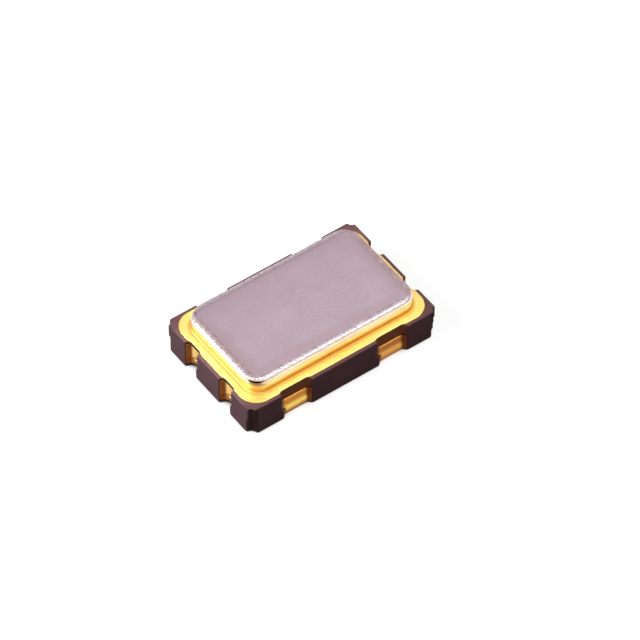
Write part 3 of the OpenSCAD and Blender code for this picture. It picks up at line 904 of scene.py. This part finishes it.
class Weld:
    """The seam weld round the lid, with one number for each point of the lid's outline."""

    def __init__(self, loop):
        x, y = np.abs(loop).T
        face_x, face_y = outward(loop).T
        steps = np.hypot(*(np.roll(loop, -1, 0) - loop).T)
        along = np.concatenate([[0], np.cumsum(steps)[:-1]])
        drift = waves(loop, (0.4, 0.6, 21), (0.2, 0.15, 22))
        self.phase = along / steps.sum() * 2 * round(steps.sum() / RIPPLE_PITCH) + drift
        # Painted highlight of the bead, brightest along the -X side, then along the -Y side
        bright = np.clip(0.42 - 0.14 * face_y - 0.66 * face_x + waves(loop, (0.2, 0.3, 28)), 0, 1)
        self.strength = (0.8 + waves(loop, (0.6, 0.3, 23))) * (0.4 + 0.6 * bright)
        near_corner = spot(loop, -LID_L / 2, -LID_W / 2, 0.4)
        self.weak_pulse = 0.6 * (np.floor(self.phase) % 2) * (1 - near_corner)
        # More painted highlight at the -X -Y corner
        self.bright = np.clip(0.75 * bright + 0.9 * near_corner, 0, 1.4)
        self.melt = waves(loop, (0.006, 0.1, 24), (0.003, 0.04, 25))
        self.second_pass = fade(x + waves(loop, (0.05, 0.1, 27)), LID_L / 2 - 0.3, LID_L / 2 - 0.18)
        corner = fade(x, LID_L / 2 - 0.75, LID_L / 2 - 0.3) * fade(y, LID_W / 2 - LID_R, LID_W / 2)
        lifted = waves(loop, (0.012, 0.14, 26)) * (1 - self.second_pass) - 0.002
        self.gap = np.clip(lifted + LID_GAP * near_gap(loop) + LID_GAP * corner, 0, 0.02)
        # Painted shade in the groove is stronger towards +Y
        self.groove = np.clip(0.6 + 0.5 * face_y, 0.1, 1)

    def ripple(self, d, z):
        """Share of the way across the weld, how much ripples show there, and their dishes."""
        across = min(d / WELD_W, 1.0)
        hold = math.exp(-((d / WELD_W - 0.32) / 0.34) ** 4) if z > 0.01 else 0.0
        place = (self.phase + RIPPLE_CURVE * (1 - (2 * across - 1) ** 2)) % 1.0
        return across, hold, (1 - (2 * place - 1) ** 2) * (1 - self.weak_pulse)

    def relief(self, d, z):
        """Shifts of the skin at one step of the profile: outwards, and up."""
        across, hold, dish = self.ripple(d, z)
        sunk = hold * self.strength * dish
        if d >= EDGE_IN:
            return 0 * sunk, -DISH_TOP * sunk
        push = self.melt * (1 - across) - DISH_EDGE * sunk if z > 0 else 0 * sunk
        return push, self.gap * max(0.0, 1 - z / 0.06) - DISH_TOP * sunk

    def paints(self, d, z, loop):
        """Paints of the same step, by name."""
        across, hold, dish = self.ripple(d, z)
        # Painted shade in the groove, at a spot by the -X +Y corner and in the gap under the lifted edge;
        # painted highlight where the bead faces the light and on the outer edge
        groove = math.exp(-((d - 0.144) / 0.01) ** 2) * self.groove
        pinch = 1.5 * spot(loop, 0.17 - LID_L / 2, LID_W / 2 - 0.17, 0.045)
        return {"weld": float(0.002 <= z and d < WELD_W),
                "second_pass": self.second_pass,
                "ridge": (1 - dish) * hold * (1 - 0.5 * self.second_pass),
                "groove": np.maximum(groove, pinch),
                "gap_shade": fade(self.gap, 0, LID_GAP) if z < 0.03 and d < EDGE_IN else 0.0,
                "bright": self.bright * fade(across, 0.66, 0.44),
                "edge": 1.0 if z < 0.06 and d < 0.03 else 0.4 if z < 0.075 else 0.0}


def build_lid(material):
    """Lid: flat satin plate whose border is a rippled weld track with a melted edge."""
    weld = Weld(rounded(LID_L, LID_W, LID_R, FINE_COUNTS))
    shell = Shell()
    rings, paints = [], {}
    for d, z in LID_PROFILE:
        loop = rounded(LID_L - 2 * d, LID_W - 2 * d, max(LID_R - 2.0 * d, 0.04), FINE_COUNTS)
        push, lift = weld.relief(d, z)
        rings.append(shell.ring(loop + outward(loop) * push[:, None], Z_LID + z + lift))
        for attribute, values in weld.paints(d, z, loop).items():
            paints.setdefault(attribute, []).append(np.broadcast_to(values, len(loop)))
    shell.skin(*rings)
    shell.fill(rings[0], up=False)
    shell.fill(rings[-1])
    lid = make_piece("welded_lid", shell, material, ["lid"], sharp=70)
    for attribute, rows in paints.items():
        paint(lid, attribute, np.concatenate(rows))
    return lid


# ---------- terminals

# Rows of a lining that make its rounded upper rim
RIM_ROWS = 3


def wall_of(outline, side, which):
    """The points and outward directions of one notch's wall, in from its mouth."""
    start = notch_start(side, which)
    keep = slice(start + 2, start + side_counts(side)[1] - 1)
    return outline[keep], outward(outline)[keep]


def proud(z):
    """How far a lining stands out where the bottom sheet, a little proud, meets the one above."""
    peak = 0.16
    return 0.012 * (math.sin(z / peak * math.pi / 2) if z < peak else math.exp(-((z - peak) / 0.05) ** 2))


def add_lining(shell, rows, bare):
    """A thin plated skin on a castellation's wall, from its rows upwards. Returns two paints:
    painted shade, 1 beyond the bare share on either side of the middle, and painted highlight, 1 on the
    upper rim."""
    fronts, backs = [], []
    count = len(rows[0][1][0])
    from_end = np.minimum(np.arange(count), np.arange(count)[::-1])
    taper = np.sqrt(1 - (1 - fade(from_end, 0, 5)) ** 2)
    for z, (wall, away), thick in rows:
        fronts.append(shell.ring(wall + away * (0.0015 + thick * taper)[:, None], z))
        backs.append(shell.ring(wall - away * 0.006, z))
    for a, b, c, d in zip(fronts, backs, fronts[1:], backs[1:]):
        for i in range(count - 1):
            shell.add((a[i], a[i + 1], c[i + 1], c[i]), False)
            shell.add((b[i], d[i], d[i + 1], b[i + 1]), False)
        shell.add((b[0], a[0], c[0], d[0]), False)
        shell.add((a[-1], b[-1], d[-1], c[-1]), False)
    for a, b, order in ((fronts[0], backs[0], 1), (fronts[-1], backs[-1], -1)):
        for i in range(count - 1):
            shell.add((a[i], b[i], b[i + 1], a[i + 1])[::order], False)
    bend = fade(np.abs(np.linspace(0, 1, count) - 0.5), bare, bare + 0.08)
    lip = np.zeros(2 * count * len(rows))
    lip[-2 * count * RIM_ROWS:] = 1.0
    return np.tile(bend, 2 * len(rows)), lip


def castellation(shell, side, which, z_low, z_high, bare, stand=0.0, rise=0.034):
    """Lining of a castellation through the two sheets below its top.
    stand: share of the proud seam. rise: how far the gold creeps over the top."""
    low = wall_of(sheet_outline(True, CORNER_LOW_R), side, which)
    high = wall_of(sheet_outline(False, CORNER_LOW_R), side, which)
    clear, count = 0.012, 12
    creep = rise + waves(high[0], (0.008, 0.15, 33))
    rows = [(z_low, low, 0.4), (z_low + 0.004, low, 0.8)]
    rows += [(z, low, 1.0) for z in np.linspace(z_low + clear, Z_FLOOR - clear, count)]
    upper = [(z, 1.0) for z in np.linspace(Z_FLOOR + clear, z_high - clear, count)]
    upper += [(z_high - 0.01, 1.35), (z_high - 0.003, 1.1), (z_high, 0.5)]
    rows += [(z + creep * (z - Z_FLOOR) / (z_high - Z_FLOOR), high, plates) for z, plates in upper]
    rows = [(z, wall, PLATE_T * plates + stand * proud(np.mean(z))) for z, wall, plates in rows]
    return add_lining(shell, rows, bare)


def pad_outline(corner_x, corner_y, index_cut):
    """A solder pad's outline, counter-clockwise seen from above."""
    near, far = TERM_X - PAD_L / 2, TERM_X + PAD_L / 2
    out, back = BASE_W / 2 - PAD_INSET, BASE_W / 2 - PAD_INSET - PAD_W
    depth = LONG_D - PLATE_T - PAD_INSET
    slot_half, slant = (LONG_W - SHEET_STEP) / 2 - PLATE_T, 0.05
    middle = TERM_X + SHEET_STEP / 2 * corner_x
    left, right = middle - slot_half, middle + slot_half
    points = [(near, out), (left, out), (left + slant, out - depth), (right - slant, out - depth),
              (right, out), (far, out), (far, back)]
    points += [(near + INDEX_CUT, back), (near, back + INDEX_CUT)] if index_cut else [(near, back)]
    loop = np.array(points) * (corner_x, corner_y)
    if corner_x * corner_y > 0:
        loop = loop[::-1]
    return soften(spread(np.concatenate([loop, loop[:1]]), 360), passes=12)


def build_terminal(name, corner_x, corner_y, material, index_cut=False):
    """Solder pad and castellation lining of one terminal."""
    outline = pad_outline(corner_x, corner_y, index_cut)
    outline = inset(outline, 0.003 + waves(outline, (0.003, 0.1, 31)), passes=0)
    edge = 0.012
    shell = Shell()
    rings = [shell.ring(inset(outline, 0.02, passes=4), 0.0)]
    for turn in np.radians((20, 45, 70, 90)):
        back, up = edge * (1 - math.sin(turn)), edge * (1 - math.cos(turn))
        rings.append(shell.ring(inset(outline, back, passes=1), up))
    rings.append(shell.ring(outline, PLATE_T))
    shell.skin(*rings)
    shell.fill(rings[0], up=False)
    shell.fill(rings[-1])
    pad = np.zeros(len(shell.points))
    side, which = 1 if corner_y > 0 else 3, 0 if corner_x * corner_y > 0 else 1
    bend, lip = castellation(shell, side, which, 0.0, Z_LEDGE, bare=0.29, stand=1.0,
                             rise=0.028 - 0.008 * corner_x)
    piece = make_piece("gold_" + name, shell, material, [name])
    # Painted shade at the lining's ends and on the +X terminals, painted highlight on the upper rim
    for attribute, values in (("lining_end_shade", bend), ("lip", lip), ("lining", np.ones(len(bend))),
                              ("tone", np.full(len(bend), 0.5 + 0.5 * corner_x))):
        paint(piece, attribute, np.concatenate([pad, values]))
    return piece


def build_test_terminal(name, side, which, material):
    """Half-round lining of one short-side castellation."""
    shell = Shell()
    bend, _ = castellation(shell, side, which, Z_TEST_LOW, Z_TEST_HIGH, bare=0.23)
    piece = make_piece("gold_" + name, shell, material, [name])
    # Painted shade at the lining's ends and at its foot
    paint(piece, "lining_end_shade", bend)
    paint(piece, "foot", fade(np.array(shell.points)[:, 2], Z_FLOOR + 0.1, Z_FLOOR + 0.015))
    return piece


# ---------- parts sealed inside

# By slot: two tones, grain per mm, metallic, roughness, depth of the relief, other constants
INNER_LOOKS = {
    "silicon": ((74, 82, 98), (96, 104, 120), 6, 0.6, 0.16, 0.0005),
    "silver_adhesive": ((170, 170, 176), (206, 206, 212), 22, 0.3, 0.55, 0.006),
    "pad_aluminium": ((196, 200, 206), (222, 224, 228), 40, 1.0, 0.3, 0.001),
    "electrode_metal": ((206, 208, 214), (232, 233, 236), 9, 1.0, 0.2, 0.0008),
    "quartz": ((214, 226, 230), (236, 244, 246), 12, 0.0, 0.22, 0.001,
               {"Transmission_Weight": 0.75, "IOR": 1.544}),
    "gold_wire": ((244, 190, 84), (255, 214, 120), 30, 1.0, 0.18, 0.001),
}


def dress_inner_parts(plated):
    """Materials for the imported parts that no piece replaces."""
    looks = {slot: inner_material(slot, *look) for slot, look in INNER_LOOKS.items()}
    looks["gold_plate"] = plated
    slot_of = {row["node"]: row["material_slot"] for row in frame["record"]["subparts"]}
    for name, node in frame["nodes"].items():
        if not node.hide_render:
            node.data.materials.clear()
            node.data.materials.append(looks[slot_of[name]])


# ---------- stage, light and camera

WHITE = (1.0, 1.0, 1.0, 1.0)
LAMP_REACH = 0.25


def empty_tree(block):
    """The cleared node tree of a material or a world."""
    block.use_nodes = True
    block.node_tree.nodes.clear()
    return block.node_tree


def build_stage():
    """Plain pale floor, near white to the camera and to reflections, that keeps the soft shadow."""
    half, lift = 0.6, 0.001 * MM
    to_camera, to_mirrors, matt_grey = 0.8, 0.58, 0.45
    crevice_reach, closed, opened = 0.3 * MM, 0.22, 0.52
    material = bpy.data.materials.new("floor")
    tree = empty_tree(material)
    rays = add_node(tree, "LightPath").outputs
    mirrored = maths("MAXIMUM", rays["Is Glossy Ray"], rays["Is Transmission Ray"])
    seen = plus(times(rays["Is Camera Ray"], to_camera), times(mirrored, to_mirrors))
    crevice = add_node(tree, "AmbientOcclusion", {"Distance": crevice_reach}, samples=12)
    glow = times(seen, map_to(crevice.outputs["AO"], closed, opened, 0.0, 1.0))
    matt = add_node(tree, "BsdfDiffuse", {"Color": (matt_grey, matt_grey, matt_grey, 1.0)})
    white = add_node(tree, "Emission", {"Color": WHITE, "Strength": glow})
    both = add_node(tree, "AddShader", {0: matt.outputs[0], 1: white.outputs[0]})
    add_node(tree, "OutputMaterial", {"Surface": both.outputs[0]})
    corners = [(-half, -half, 0), (half, -half, 0), (half, half, 0), (-half, half, 0)]
    mesh = bpy.data.meshes.new("floor")
    mesh.from_pydata(corners, [], [(0, 1, 2, 3)])
    mesh.materials.append(material)
    floor = add_object("floor", mesh)
    floor.location.z = cad_box[0][2] + lift


def build_world():
    """Even studio light, seen as white by the camera and in reflections."""
    world = bpy.data.worlds.new("studio")
    bpy.context.scene.world = world
    tree = empty_tree(world)
    rays = add_node(tree, "LightPath").outputs
    seen = maths("MAXIMUM", rays["Is Camera Ray"], rays["Is Glossy Ray"])
    seen = maths("MAXIMUM", seen, rays["Is Transmission Ray"])
    fill_light = 0.085
    strength = map_to(seen, 0, 1, fill_light, 1.0)
    back = add_node(tree, "Background", {"Color": WHITE, "Strength": strength})
    add_node(tree, "OutputWorld", {"Surface": back.outputs[0]})


def area_light(name, direction, size, level):
    """Softbox at LAMP_REACH from the part; a level of 1 lights a surface as a white world does."""
    away = Vector(direction).normalized()
    data = bpy.data.lights.new(name, "AREA")
    data.size = size
    data.energy = level * math.pi ** 2 * LAMP_REACH ** 2
    lamp = add_object(name, data)
    lamp.location = away * LAMP_REACH
    lamp.rotation_euler = (-away).to_track_quat("-Z", "Y").to_euler()


def build_camera():
    """Camera at the photograph's angle, looking over the first terminal's corner."""
    turn, tilt = math.radians(35.93), math.radians(49.29)
    distance, aside, down = 117.6, -0.393, -0.457
    aim = Vector((0, 0, -0.05))
    right = Vector((math.cos(turn), -math.sin(turn), 0))
    ahead = Vector((math.sin(turn) * math.cos(tilt), math.cos(turn) * math.cos(tilt), -math.sin(tilt)))
    above = right.cross(ahead)
    data = bpy.data.cameras.new("camera")
    data.sensor_width = 36
    data.lens = 303.75
    data.clip_start = 0.001
    data.clip_end = 10
    camera = add_object("camera", data)
    camera.matrix_world = Matrix((right, above, -ahead)).transposed().to_4x4()
    camera.location = (-ahead * distance - right * aside - above * down + aim) * MM
    bpy.context.scene.camera = camera


# ---------- assembly

bpy.context.scene.view_settings.view_transform = "Standard"
build_stage()
build_world()
area_light("key", direction=(-0.8, 0.3, 0.52), size=0.16, level=0.98)
area_light("top", direction=(0.3, -0.14, 0.94), size=0.15, level=0.34)
build_camera()

build_ceramic(ceramic_material())
build_band(band_gold())
build_braze(braze_gold())
build_ring(ring_gold())
build_lid(lid_material())
plated = terminal_gold()
for terminal, (x, y) in {"terminal_enable": (-1, -1), "terminal_ground": (1, -1),
                         "terminal_output": (1, 1), "terminal_supply": (-1, 1)}.items():
    build_terminal(terminal, x, y, plated, index_cut=terminal == "terminal_enable")
test_plated = test_gold()
for number, (side, which) in enumerate(((2, 1), (2, 0), (0, 0), (0, 1)), 1):
    build_test_terminal(f"test_terminal_{number}", side, which, test_plated)
dress_inner_parts(plated)
